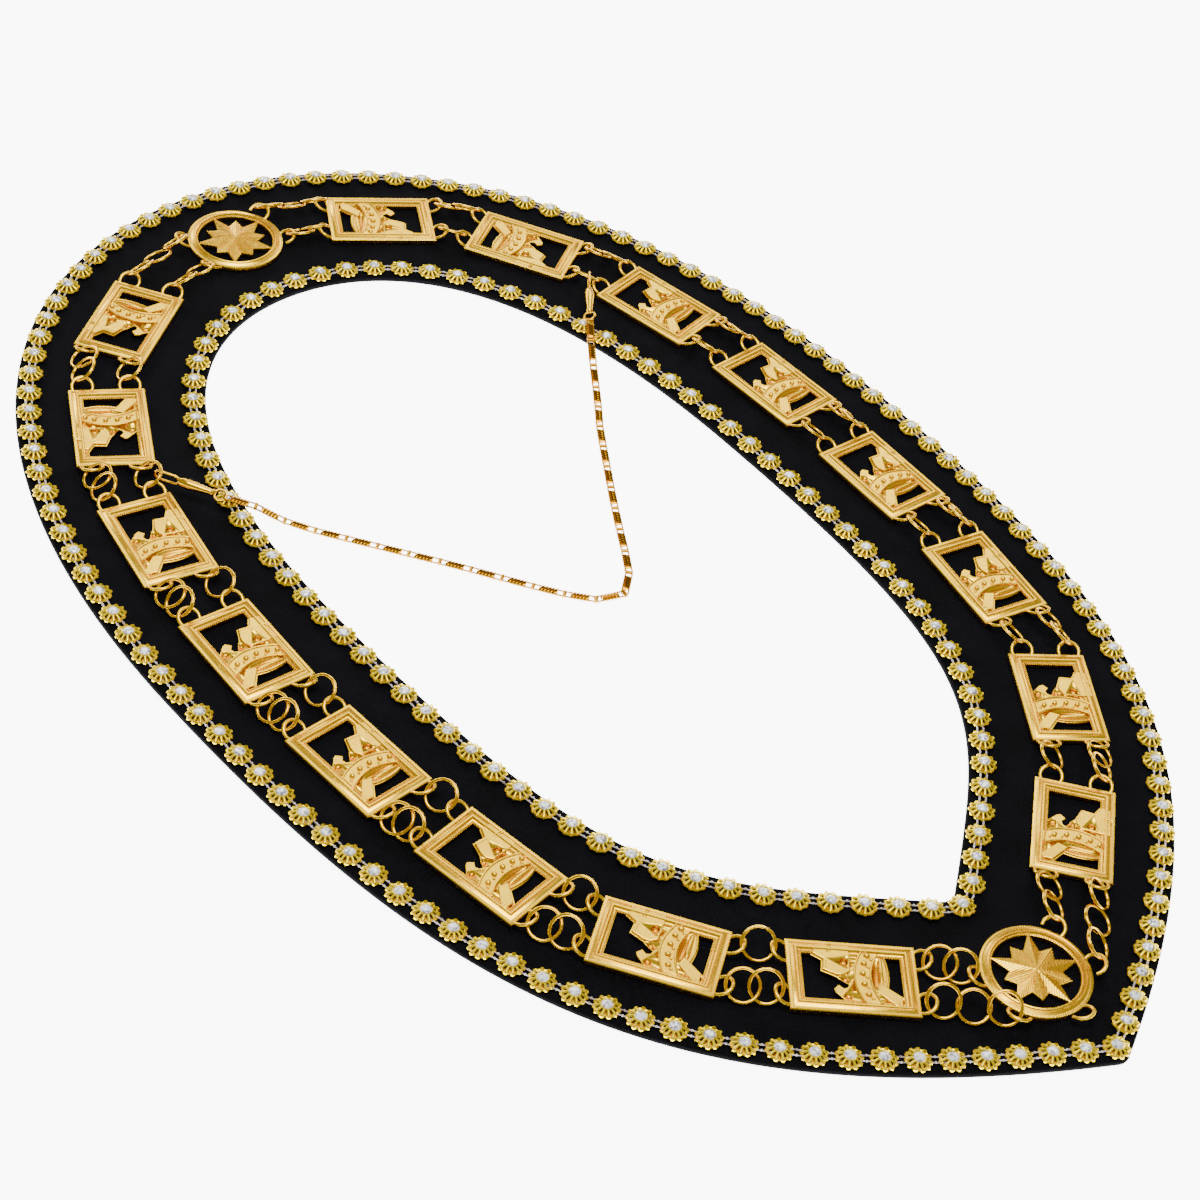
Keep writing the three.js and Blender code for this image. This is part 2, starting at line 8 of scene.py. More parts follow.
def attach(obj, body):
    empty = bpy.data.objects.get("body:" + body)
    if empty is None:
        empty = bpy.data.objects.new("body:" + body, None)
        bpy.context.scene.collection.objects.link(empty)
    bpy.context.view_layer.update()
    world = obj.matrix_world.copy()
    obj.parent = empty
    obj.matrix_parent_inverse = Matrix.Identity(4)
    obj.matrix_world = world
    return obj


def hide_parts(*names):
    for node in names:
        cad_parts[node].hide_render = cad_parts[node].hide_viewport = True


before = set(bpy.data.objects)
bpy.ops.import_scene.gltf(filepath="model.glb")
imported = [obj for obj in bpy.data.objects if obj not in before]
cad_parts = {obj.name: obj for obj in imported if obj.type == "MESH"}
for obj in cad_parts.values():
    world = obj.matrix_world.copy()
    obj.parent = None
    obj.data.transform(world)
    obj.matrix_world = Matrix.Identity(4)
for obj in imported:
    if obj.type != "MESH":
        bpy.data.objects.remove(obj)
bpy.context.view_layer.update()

mm = 0.001


# The velvet band: black cotton velvet glued round a stiff interlining and turned in at both edges.
# Its pointed oval outline and the neck opening are two closed curves, bridged and given a thickness.
band_thickness = 2.5
band_edge_round = 0.9
pile_sink = 0.3
neck_corner_reach = 8
point_reach = 2.5
edge_steps = 60
cloth_rows = 14
widest_place = 33.2
outer_shape = {"half": 174.5, "front": -277, "back": 277, "slope_x": 0.826, "slope_y": 0.127,
               "front_arc": 0.292, "back_arc": 0.304, "crown": 0.483}
neck_shape = {"half": 97.5, "front": -194, "back": 200, "slope_x": 0.777, "slope_y": 0.15,
              "front_arc": 0.398, "back_arc": 0.373, "crown": 0.34}


def pick(*objects):
    """Select these objects and nothing else, and make the last one active."""
    bpy.ops.object.select_all(action="DESELECT")
    for item in objects:
        item.select_set(True)
        bpy.context.view_layer.objects.active = item


def edge_knots(shape):
    """An edge's four Bezier knots with their handles, from the front point round by +X."""
    half, front, back = shape["half"], shape["front"], shape["back"]
    length = back - front
    slope = (shape["slope_x"] * half, front + shape["slope_y"] * length)
    low = widest_place - shape["front_arc"] * length
    high = widest_place + shape["back_arc"] * length
    crown = shape["crown"] * half
    flat = [
        ((0, front), (-slope[0], slope[1]), slope),
        ((half, widest_place), (half, low), (half, high)),
        ((0, back), (crown, back), (-crown, back)),
        ((-half, widest_place), (-half, high), (-half, low)),
    ]
    return [[Vector((x, y, 0)) * mm for x, y in knot] for knot in flat]


def edge_loop(knots):
    """A closed line of short edges along a Bezier circle bent to these knots."""
    bpy.ops.curve.primitive_bezier_circle_add()
    loop = bpy.context.object
    loop.data.resolution_u = edge_steps
    for point, (place, before, after) in zip(loop.data.splines[0].bezier_points, knots):
        point.handle_left_type = "FREE"
        point.handle_right_type = "FREE"
        point.co = place
        point.handle_left = before
        point.handle_right = after
    bpy.ops.object.convert(target="MESH")
    return bpy.context.object


def add_modifier(item, kind, **settings):
    """Add one modifier to an object and apply it."""
    pick(item)
    modifier = item.modifiers.new(kind.lower(), kind)
    for name, value in settings.items():
        setattr(modifier, name, value)
    bpy.ops.object.modifier_apply(modifier=modifier.name)


def round_front(loop, reach):
    """Round the corner of a closed line at its front point, this far along both sides."""
    front = min(loop.data.vertices, key=lambda vertex: vertex.co.y)
    for vertex in loop.data.vertices:
        vertex.select = vertex == front
    bpy.ops.object.mode_set(mode="EDIT")
    bpy.ops.mesh.bevel(offset=reach * mm, segments=6, affect="VERTICES")
    bpy.ops.object.mode_set(mode="OBJECT")


outer_knots = edge_knots(outer_shape)
neck_knots = edge_knots(neck_shape)
neck_loop = edge_loop(neck_knots)
round_front(neck_loop, neck_corner_reach)
band = edge_loop(outer_knots)
round_front(band, point_reach)
pick(neck_loop, band)
bpy.ops.object.join()
bpy.ops.object.mode_set(mode="EDIT")
bpy.ops.mesh.select_all(action="SELECT")
bpy.ops.mesh.bridge_edge_loops(number_cuts=cloth_rows, interpolation="LINEAR")
bpy.ops.mesh.select_all(action="SELECT")
bpy.ops.mesh.normals_make_consistent(inside=False)
bpy.ops.object.mode_set(mode="OBJECT")
if band.data.polygons[0].normal.z < 0:
    bpy.ops.object.mode_set(mode="EDIT")
    bpy.ops.mesh.flip_normals()
    bpy.ops.object.mode_set(mode="OBJECT")
add_modifier(band, "SOLIDIFY", thickness=band_thickness * mm, offset=1)
add_modifier(band, "BEVEL", width=band_edge_round * mm, segments=3, limit_method="ANGLE",
             angle_limit=math.radians(60))
for vertex in band.data.vertices:
    if vertex.co.z > 0.6 * band_thickness * mm:
        sink = 0.5 + 0.5 * noise.noise(vertex.co * 22)
        vertex.co.z -= pile_sink * mm * sink
pick(band)
bpy.ops.object.shade_smooth_by_angle(angle=math.radians(50))
band.name = "velvet_cloth"


class Shade:
    """One output among a material's nodes. Arithmetic on it adds Math nodes."""

    def __init__(self, tree, socket=None):
        self.tree = tree
        self.socket = socket

    def node(self, kind, settings, inputs, output=0):
        """Add a node, make its settings, then give its inputs values or links."""
        new = self.tree.nodes.new(kind)
        for name, value in settings.items():
            setattr(new, name, value)
        for name, value in inputs.items():
            if isinstance(value, Shade):
                self.tree.links.new(value.socket, new.inputs[name])
            else:
                new.inputs[name].default_value = value
        return Shade(self.tree, new.outputs[output])

    def __add__(self, other):
        return self.node("ShaderNodeMath", {"operation": "ADD"}, {0: self, 1: other})

    def __mul__(self, other):
        return self.node("ShaderNodeMath", {"operation": "MULTIPLY"}, {0: self, 1: other})


def new_material(name, constants):
    """A material with its shader's fixed values set, and a way to add nodes to it."""
    material = bpy.data.materials.new(name)
    material.use_nodes = True
    shader = material.node_tree.nodes["Principled BSDF"]
    for socket, value in constants.items():
        shader.inputs[socket].default_value = value
    return material, shader, Shade(material.node_tree)


def grain(nodes, size, detail=2.0):
    """Noise from the object's own coordinates, its features about this many millimetres wide."""
    place = nodes.node("ShaderNodeTexCoord", {}, {}, "Object")
    return nodes.node("ShaderNodeTexNoise", {}, {"Vector": place, "Scale": 1 / (size * mm),
                                                 "Detail": detail})


def blend(nodes, share, first, second):
    """A colour that goes from the first to the second as the share goes from 0 to 1."""
    return nodes.node("ShaderNodeMix", {"data_type": "RGBA"}, {0: share, 6: first, 7: second}, 2)


def spread(nodes, value, low, high, to_low=0.0, to_high=1.0):
    """A value stretched from one range to another and held inside it."""
    return nodes.node("ShaderNodeMapRange", {}, {"Value": value, "From Min": low, "From Max": high,
                                                 "To Min": to_low, "To Max": to_high})


def feed(nodes, shader, **links):
    """Link values to the shader's sockets, named with _ for a space."""
    for name, value in links.items():
        nodes.tree.links.new(value.socket, shader.inputs[name.replace("_", " ")])


def roughen(nodes, height, depth, strength=1.0):
    """A bump of this height in millimetres, as a normal."""
    return nodes.node("ShaderNodeBump", {}, {"Height": height, "Distance": depth * mm,
                                             "Strength": strength}, "Normal")


velvet, shader, nodes = new_material("black velvet pile", {
    "Sheen Weight": 0.05, "Sheen Roughness": 0.3, "Sheen Tint": (0.7, 0.72, 0.85, 1),
    "Specular IOR Level": 0.06})
mottle = spread(nodes, grain(nodes, 16, 3), 0.35, 0.68)
tufts = spread(nodes, grain(nodes, 0.55, 4), 0.45, 0.72)
pile = grain(nodes, 0.16, 2)
ground = blend(nodes, mottle, (0.0008, 0.0008, 0.001, 1), (0.0022, 0.0022, 0.0036, 1))
feed(nodes, shader,
     Base_Color=blend(nodes, tufts * 0.6, ground, (0.009, 0.009, 0.013, 1)),
     Roughness=spread(nodes, tufts, 0, 1, 0.85, 1.0),
     Normal=roughen(nodes, pile, 0.12, 0.7))
band.data.materials.clear()
band.data.materials.append(velvet)
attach(band, "root")
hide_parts("velvet_band")


# Rosettes: cast and plated filigree flowers, eleven spokes round a bezel cup, each with a small ring
# at its tip. One is modelled, and copies stand in a row along both edges of the velvet.
base = 2.8
trim_inset = 5.2
row_counts = {"outer": 120, "inner": 83}
inner_corner_reach = 6
petals = 11
spoke_width = 1.25
spoke_height = 0.9
spoke_taper = 0.72
tip_slope = 22
most_lean = 3.5
most_swing = 30


def drawn(points):
    """A face with its corners at these points in millimetres, left in edit mode and selected."""
    pick()
    bpy.ops.mesh.primitive_circle_add(vertices=len(points), fill_type="NGON")
    face = bpy.context.object
    for corner, place in zip(face.data.vertices, points):
        corner.co = Vector(place) * mm
    bpy.ops.object.mode_set(mode="EDIT")
    bpy.ops.mesh.select_all(action="SELECT")
    return face


def raise_face(height):
    """Extrude what is selected straight up by this many millimetres."""
    bpy.ops.mesh.extrude_region_move(TRANSFORM_OT_translate={"value": (0, 0, height * mm)})


def finish_mesh(item, smooth=40):
    """Merge doubles, turn the faces outwards and smooth the edges below this angle."""
    if item.mode != "EDIT":
        pick(item)
        bpy.ops.object.mode_set(mode="EDIT")
    bpy.ops.mesh.select_all(action="SELECT")
    bpy.ops.mesh.remove_doubles(threshold=0.002 * mm)
    bpy.ops.mesh.normals_make_consistent(inside=False)
    bpy.ops.object.mode_set(mode="OBJECT")
    pick(item)
    bpy.ops.object.shade_smooth_by_angle(angle=math.radians(smooth))
    return item


def turned(profile, steps, axis=(0, 0, 1)):
    """A ring or a round body turned about an axis from a closed profile, in millimetres."""
    item = drawn(profile)
    bpy.ops.mesh.delete(type="ONLY_FACE")
    bpy.ops.mesh.select_all(action="SELECT")
    bpy.ops.mesh.spin(steps=steps, angle=2 * math.pi, center=(0, 0, 0), axis=axis)
    return finish_mesh(item)


def shift(x=0.0, y=0.0, z=0.0):
    """A move, in millimetres."""
    return Matrix.Translation(Vector((x, y, z)) * mm)


def turn(degrees, axis="Z"):
    """A turn about an axis through the origin."""
    return Matrix.Rotation(math.radians(degrees), 4, axis)


def placed(master, matrix, name=None):
    """A copy of a piece with a mesh of its own, which is moved to its place."""
    twin = master.copy()
    twin.data = master.data.copy()
    twin.data.transform(matrix)
    bpy.context.collection.objects.link(twin)
    if name:
        twin.name = name
    return twin


def joined(parts, name):
    """Several objects joined into one."""
    pick(*parts)
    if len(parts) > 1:
        bpy.ops.object.join()
    whole = bpy.context.object
    whole.name = name
    return whole


def drop(*items):
    """Remove models that only served to be copied."""
    for item in items:
        bpy.data.objects.remove(item)


def bar(start, end, width, height, sides=6):
    """A straight bar of round or flat section between two points in millimetres."""
    start, end = Vector(start), Vector(end)
    span = end - start
    pick()
    bpy.ops.mesh.primitive_cylinder_add(vertices=sides, radius=0.5, depth=span.length)
    item = bpy.context.object
    item.data.transform(Matrix.Diagonal((height, width, 1, 1)))
    aim = span.to_track_quat("Z", "X").to_matrix().to_4x4()
    item.data.transform(aim)
    item.data.transform(Matrix.Translation((start + end) / 2))
    item.data.transform(Matrix.Scale(mm, 4))
    return finish_mesh(item, 75)


def petal_model():
    """One spoke of a rosette, sloping down outwards from the bezel, with a small ring at its tip."""
    spoke = bar((2.3, 0, 2.3), (4.2, 0, 1.25), spoke_width, spoke_height)
    for corner in spoke.data.vertices:
        if corner.co.x < 3 * mm:
            corner.co.y *= spoke_taper
    tip = turned([(0.28, 0, 0), (0.6, 0, 0.42), (0.95, 0, 0), (0.6, 0, -0.42)], 7)
    tip.data.transform(shift(4.25, 0, 1.05) @ turn(tip_slope, "Y"))
    return joined([spoke, tip], "petal")


def paint_shade(item, value):
    """Paint a whole piece's share of shade: 0 where it is raised, 1 in painted shade behind the rest.
    """
    layer = item.data.color_attributes.new(name="depth", type="FLOAT_COLOR", domain="POINT")
    for point in layer.data:
        point.color = (value, value, value, 1)


def rosette_model():
    """A rosette on the velvet at z = 0, its bezel cup open at the top."""
    cup = turned([(1.5, 0, 0.2), (1.9, 0, 0.2), (2.45, 0, 2.1), (2.55, 0, 2.6), (2.3, 0, 2.9),
                  (2.1, 0, 2.55), (1.9, 0, 2.2)], 16)
    rim = turned([(3.6, 0, 1.2), (4.1, 0, 1.3), (4.55, 0, 0.8), (4.0, 0, 0.6)], 22)
    bloom = petal_model()
    parts = [cup, rim]
    for i in range(petals):
        parts.append(placed(bloom, turn(360 * i / petals)))
    drop(bloom)
    flower = joined(parts, "rosette")
    # The dish under the spokes is a dark sheet of painted shade, seen through the openings.
    dish = turned([(1.7, 0, 1.5), (4.2, 0, 0.6), (4.2, 0, 0.35), (1.7, 0, 0.35)], 14)
    paint_shade(flower, 0)
    paint_shade(dish, 1)
    return joined([flower, dish], "rosette")


def half_line(knots, offset):
    """Points along the +X half of an edge, moved this far to the left of the way to the back."""
    middle = []
    for start, end in zip(knots[:2], knots[1:3]):
        middle += interpolate_bezier(start[0], start[2], end[1], end[0], 200)[:-1]
    middle.append(knots[2][0])
    line = []
    for i, point in enumerate(middle):
        along = (middle[min(i + 1, len(middle) - 1)] - middle[max(i - 1, 0)]).normalized()
        if i == 0:
            spot = point + Vector((0, offset / along.x, 0))
        else:
            spot = point + Vector((-along.y, along.x, 0)) * offset
        if i == 0 or spot.x > 0.2 * mm:
            line.append(spot)
    line.append(Vector((0, middle[-1].y + offset * along.x, 0)))
    return line


def line_length(line):
    """The length of a line of points."""
    return sum((after - before).length for before, after in zip(line, line[1:]))


def walk(line, distance):
    """The place and direction this far along a line of points."""
    for before, after in zip(line, line[1:]):
        step = (after - before).length
        if distance <= step:
            break
        distance -= step
    return before.lerp(after, min(distance / step, 1)), (after - before).normalized()


def row_places(line, count):
    """Even places round a closed line given by its +X half, the first at the front."""
    pitch = 2 * line_length(line) / count
    places = []
    for i in range(count // 2 + 1):
        spot, along = walk(line, i * pitch)
        angle = math.degrees(math.atan2(along.y, along.x))
        places.append((spot.x, spot.y, angle))
        if 0 < i and spot.x > 1 * mm:
            places.append((-spot.x, spot.y, 180 - angle))
    return places


def rounded_start(line, reach):
    """The same half line with its corner at the middle rounded to an arc, from this far out."""
    kept = line[next(i for i, point in enumerate(line) if point.x > reach * mm):]
    first, along = kept[0], (kept[1] - kept[0]).normalized()
    middle = Vector((0, first.y + first.x * along.x / along.y, 0))
    radius = (first - middle).length
    sweep = math.asin(first.x / radius)
    start = [middle + Vector((math.sin(sweep * i / 8), -math.cos(sweep * i / 8), 0)) * radius
             for i in range(8)]
    return start + kept


outer_row_line = half_line(outer_knots, trim_inset * mm)
inner_row_line = rounded_start(half_line(neck_knots, -trim_inset * mm), inner_corner_reach)
rows = {"outer": row_places(outer_row_line, row_counts["outer"]),
        "inner": row_places(inner_row_line, row_counts["inner"])}


def row_matrices(places):
    """Where each rosette of a row stands, each with its own small turn and lean."""
    matrices = []
    for i, (x, y, angle) in enumerate(places):
        lean = most_lean * noise.noise(Vector((i * 3.7, 0.5, 0)))
        lean_side = most_lean * noise.noise(Vector((0.5, i * 3.7, 9)))
        swing = most_swing * noise.noise(Vector((i * 2.3, 5.5, 1)))
        matrices.append(Matrix.Translation((x, y, base * mm)) @ turn(angle + swing)
                        @ turn(lean, "X") @ turn(lean_side, "Y"))
    return matrices


def gold(name, light, deep, rough, low=None, wear=0.35, painted=False):
    """A plated finish: its colour shifts a little, and goes deeper as painted shade below the low
    height.
    """
    material, shader, nodes = new_material(name, {"Metallic": 1.0, "Specular IOR Level": 0.5})
    patches = spread(nodes, grain(nodes, 7, 3), 0.35, 0.68)
    specks = spread(nodes, grain(nodes, 0.8, 3), 0.4, 0.72)
    share = patches * wear
    # Below the low height the colour goes deeper: painted shade in the recesses.
    if low:
        place = nodes.node("ShaderNodeTexCoord", {}, {}, "Object")
        height = nodes.node("ShaderNodeSeparateXYZ", {}, {"Vector": place}, "Z")
        share = share + spread(nodes, height, low[1] * mm, low[0] * mm) * (1 - wear)
    # Where the depth attribute is 1 the colour goes deep: painted shade on the rosettes' dish.
    if painted:
        share = share + nodes.node("ShaderNodeAttribute", {"attribute_name": "depth"}, {}, "Fac")
    feed(nodes, shader,
         Base_Color=blend(nodes, share, light, deep),
         Roughness=spread(nodes, specks + patches * 0.6, 0, 1.6, rough[0], rough[1]),
         Normal=roughen(nodes, specks, 0.012, 0.5))
    return material


# Its deep colour is also the painted shade on the dish under the spokes.
rosette_gold = gold("lemon gold plate", (1.0, 0.75, 0.008, 1), (0.16, 0.06, 0.001, 1),
                    (0.24, 0.42), wear=0.15, painted=True)
rosette = rosette_model()
for row, places in rows.items():
    matrices = row_matrices(places)
    flowers = joined([placed(rosette, matrix) for matrix in matrices], row + "_rosettes")
    flowers.data.materials.clear()
    flowers.data.materials.append(rosette_gold)
    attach(flowers, "root")
    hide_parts(row + "_rosette_trim")


# Stones: foil-backed clear crystals pressed into the bezel cups, a flat table with two rows of
# facets round it.
stone_radius = 2.1
bezel_height = 2.55
crown_steps = [(0.42, 0.78), (0.3, 0.68)]


def stone_model():
    """A stone in its cup, each row of facets rising by one step and drawing in to its share."""
    stone = drawn([(stone_radius * math.cos(math.radians(30 * i)),
                    stone_radius * math.sin(math.radians(30 * i)), bezel_height)
                   for i in range(12)])
    for rise, share in crown_steps:
        raise_face(rise)
        bpy.ops.transform.resize(value=(share, share, 1))
    return finish_mesh(stone, 5)


crystal, shader, nodes = new_material("foiled crystal", {
    "Metallic": 0.25, "IOR": 1.6, "Coat Weight": 1.0, "Coat Roughness": 0.02})
# Painted highlights and painted dark reflections: random patches of the base colour run from dark grey
# to white.
painted_glint = spread(nodes, grain(nodes, 1.3, 1), 0.34, 0.55)
feed(nodes, shader,
     Base_Color=blend(nodes, painted_glint, (0.25, 0.25, 0.28, 1), (1.0, 1.0, 1.0, 1)),
     Roughness=spread(nodes, painted_glint, 0, 1, 0.04, 0.16),
     Normal=roughen(nodes, painted_glint, 0.12, 0.5))
stone = stone_model()
for row, places in rows.items():
    matrices = row_matrices(places)
    stones = joined([placed(stone, matrix) for matrix in matrices], row + "_stones")
    stones.data.materials.clear()
    stones.data.materials.append(crystal)
    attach(stones, "root")
drop(rosette, stone)


# Threads: two clear nylon lines that run under each row of rosettes and tie them to the velvet,
# with a knot in every gap.
thread_radius = 0.28
thread_spread = 1.15
thread_height = 0.9
thread_steps = 150
knot_radius = 0.5
knot_height = 0.95


def wire(points, radius, sides=6, closed=False):
    """A round wire through these points, drawn as a curve and then made a mesh."""
    pick()
    bpy.ops.curve.primitive_bezier_curve_add()
    line = bpy.context.object
    line.data.splines.clear()
    spline = line.data.splines.new("POLY")
    spline.points.add(len(points) - 1)
    for point, place in zip(spline.points, points):
        point.co = (*(Vector(place) * mm), 1)
    spline.use_cyclic_u = closed
    line.data.bevel_depth = radius * mm
    line.data.bevel_resolution = (sides - 4) // 2
    line.data.use_fill_caps = True
    bpy.ops.object.convert(target="MESH")
    return finish_mesh(bpy.context.object, 75)


def small_bead(x, y, z, radius):
    """A bead with few faces, to be copied many times."""
    pick()
    bpy.ops.mesh.primitive_ico_sphere_add(subdivisions=1, radius=radius * mm,
                                          location=Vector((x, y, z)) * mm)
    bead = bpy.context.object
    bpy.ops.object.transform_apply(location=True)
    return finish_mesh(bead, 80)


def thread_pair(line, places):
    """Both threads of a row, with a knot on each of them midway between two rosettes."""
    length = line_length(line)
    parts = []
    for side in (-thread_spread, thread_spread):
        points = []
        for i in range(thread_steps + 1):
            spot, along = walk(line, length * i / thread_steps)
            spot = spot / mm + Vector((-along.y, along.x, 0)) * side
            points.append((max(spot.x, 0), spot.y, base + thread_height))
        points += [(-x, y, z) for x, y, z in points[-2:0:-1]]
        parts.append(wire(points, thread_radius, 4, closed=True))
        knot = small_bead(0, 0, 0, knot_radius)
        pitch = 2 * length / len(places)
        for i in range(len(places) // 2 + 1):
            spot, along = walk(line, min((i + 0.5) * pitch, length))
            spot = spot / mm + Vector((-along.y, along.x, 0)) * side
            for mirror in (-1, 1):
                parts.append(placed(knot, shift(mirror * spot.x, spot.y, base + knot_height)))
        drop(knot)
    return parts


nylon, shader, nodes = new_material("clear nylon thread", {
    "IOR": 1.5, "Coat Weight": 0.4, "Coat Roughness": 0.1})
haze = spread(nodes, grain(nodes, 1.1, 2), 0.35, 0.65)
feed(nodes, shader,
     Base_Color=blend(nodes, haze, (0.3, 0.24, 0.24, 1), (0.85, 0.75, 0.73, 1)),
     Roughness=spread(nodes, haze, 0, 1, 0.18, 0.35),
     Normal=roughen(nodes, haze, 0.05, 0.5))
for row, line in (("outer", outer_row_line), ("inner", inner_row_line)):
    threads = joined(thread_pair(line, rows[row]), row + "_threads")
    threads.data.materials.clear()
    threads.data.materials.append(nylon)
    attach(threads, "root")


# Plates: pale gold castings, a moulded frame with a milled rim and a beaded lip round a pierced
# emblem, a crown with a slanted cross. Four wire loops are soldered to the ends.
plate_width = 30
plate_length = 45
frame_steps = [
    (0.3, 0.25), (0.9, 0.05), (0.2, -0.35), (0.2, 0.15), (0.95, 0.4), (0.2, -0.2), (0.15, 0.35),
    (0.25, 0.25), (0.5, 0.0), (0.25, -0.25), (0.2, -0.65), (0.2, -0.1), (1.1, -0.15),
]
frame_border = sum(step for step, rise in frame_steps)
rim_height = 1.85
rib_inset = 0.1
lip_reach = 0.4
relief_smooth = 20


def select_faces(item, wanted):
    """In edit mode, select the faces for which wanted(centre in millimetres, normal) holds."""
    bpy.ops.mesh.select_all(action="DESELECT")
    bpy.ops.object.mode_set(mode="OBJECT")
    for face in item.data.polygons:
        face.select = wanted(face.center / mm, face.normal)
    bpy.ops.object.mode_set(mode="EDIT")


def plate_frame():
    """The frame alone: a block inset step by step on its top, and opened through the middle."""
    pick()
    bpy.ops.mesh.primitive_cube_add(size=1 * mm)
    item = bpy.context.object
    item.data.transform(Matrix.Diagonal((plate_width, plate_length, rim_height, 1)))
    item.data.transform(shift(z=rim_height / 2))
    bpy.ops.object.mode_set(mode="EDIT")
    select_faces(item, lambda centre, normal: normal.z > 0.9)
    for step, rise in frame_steps:
        bpy.ops.mesh.inset(thickness=step * mm, depth=rise * mm)
    select_faces(item, lambda centre, normal: normal.z < -0.9)
    bpy.ops.mesh.inset(thickness=frame_border * mm)
    select_faces(item, lambda centre, normal: abs(normal.z) > 0.9
                 and abs(centre.x) < 1 and abs(centre.y) < 1)
    bpy.ops.mesh.bridge_edge_loops()
    return finish_mesh(item, 32)


def rim_ribs(x, y, pitch, width, height, rib, thickness):
    """Short bars across a rectangular rim, from x and y in by the rib's length."""
    parts = []
    for half, reach, quarter in ((y, x, 0), (x, y, 90)):
        count = round((2 * half - 1) / pitch)
        model = bar((reach - rib, 0, height), (reach, 0, height), width, thickness, 5)
        for i in range(count + 1):
            along = -half + 0.5 + (2 * half - 1) * i / count
            for flip in (0, 180):
                parts.append(placed(model, turn(quarter + flip) @ shift(y=along)))
        drop(model)
    return parts


def lip_beads(x, y, pitch, height, radius):
    """Beads in a row round a rectangular opening."""
    parts = []
    model = small_bead(0, 0, 0, radius)
    for half, reach, quarter in ((y, x, 0), (x, y, 90)):
        count = round(2 * half / pitch)
        for i in range(count):
            along = -half + 2 * half * i / count
            for flip in (0, 180):
                parts.append(placed(model, turn(quarter + flip) @ shift(reach, along, height)))
    drop(model)
    return parts


def relief(points, foot, top, round_width):
    """A raised shape with these corners, from the foot height to the top, its top edge rounded."""
    item = drawn([(x, y, foot) for x, y in points])
    raise_face(top - foot)
    finish_mesh(item, relief_smooth)
    bpy.ops.object.mode_set(mode="EDIT")
    select_faces(item, lambda centre, normal: centre.z > top - 0.01 and abs(normal.z) > 0.9)
    bpy.ops.mesh.region_to_loop()
    bpy.ops.mesh.bevel(offset=round_width * mm, segments=2)
    return finish_mesh(item, relief_smooth)


def arc(left, apex, right, steps=12):
    """Points on a smooth bow from left through the apex to right."""
    points = []
    for i in range(steps + 1):
        t = i / steps
        bow = 2 * Vector(apex) - (Vector(left) + Vector(right)) / 2
        points.append(Vector(left) * (1 - t) ** 2 + bow * 2 * t * (1 - t) + Vector(right) * t ** 2)
    return points


def oval(centre, size, height, lean=0.0):
    """A domed oval boss, half sunk where it stands."""
    pick()
    bpy.ops.mesh.primitive_uv_sphere_add(segments=12, ring_count=8, radius=0.5 * mm)
    item = bpy.context.object
    item.data.transform(shift(centre[0], centre[1], centre[2]) @ turn(lean)
                        @ Matrix.Diagonal((size[0], size[1], height, 1)))
    return finish_mesh(item, 80)


def cut(item, cutter):
    """Cut one closed shape out of another."""
    add_modifier(item, "BOOLEAN", operation="DIFFERENCE", object=cutter, solver="EXACT")
    drop(cutter)


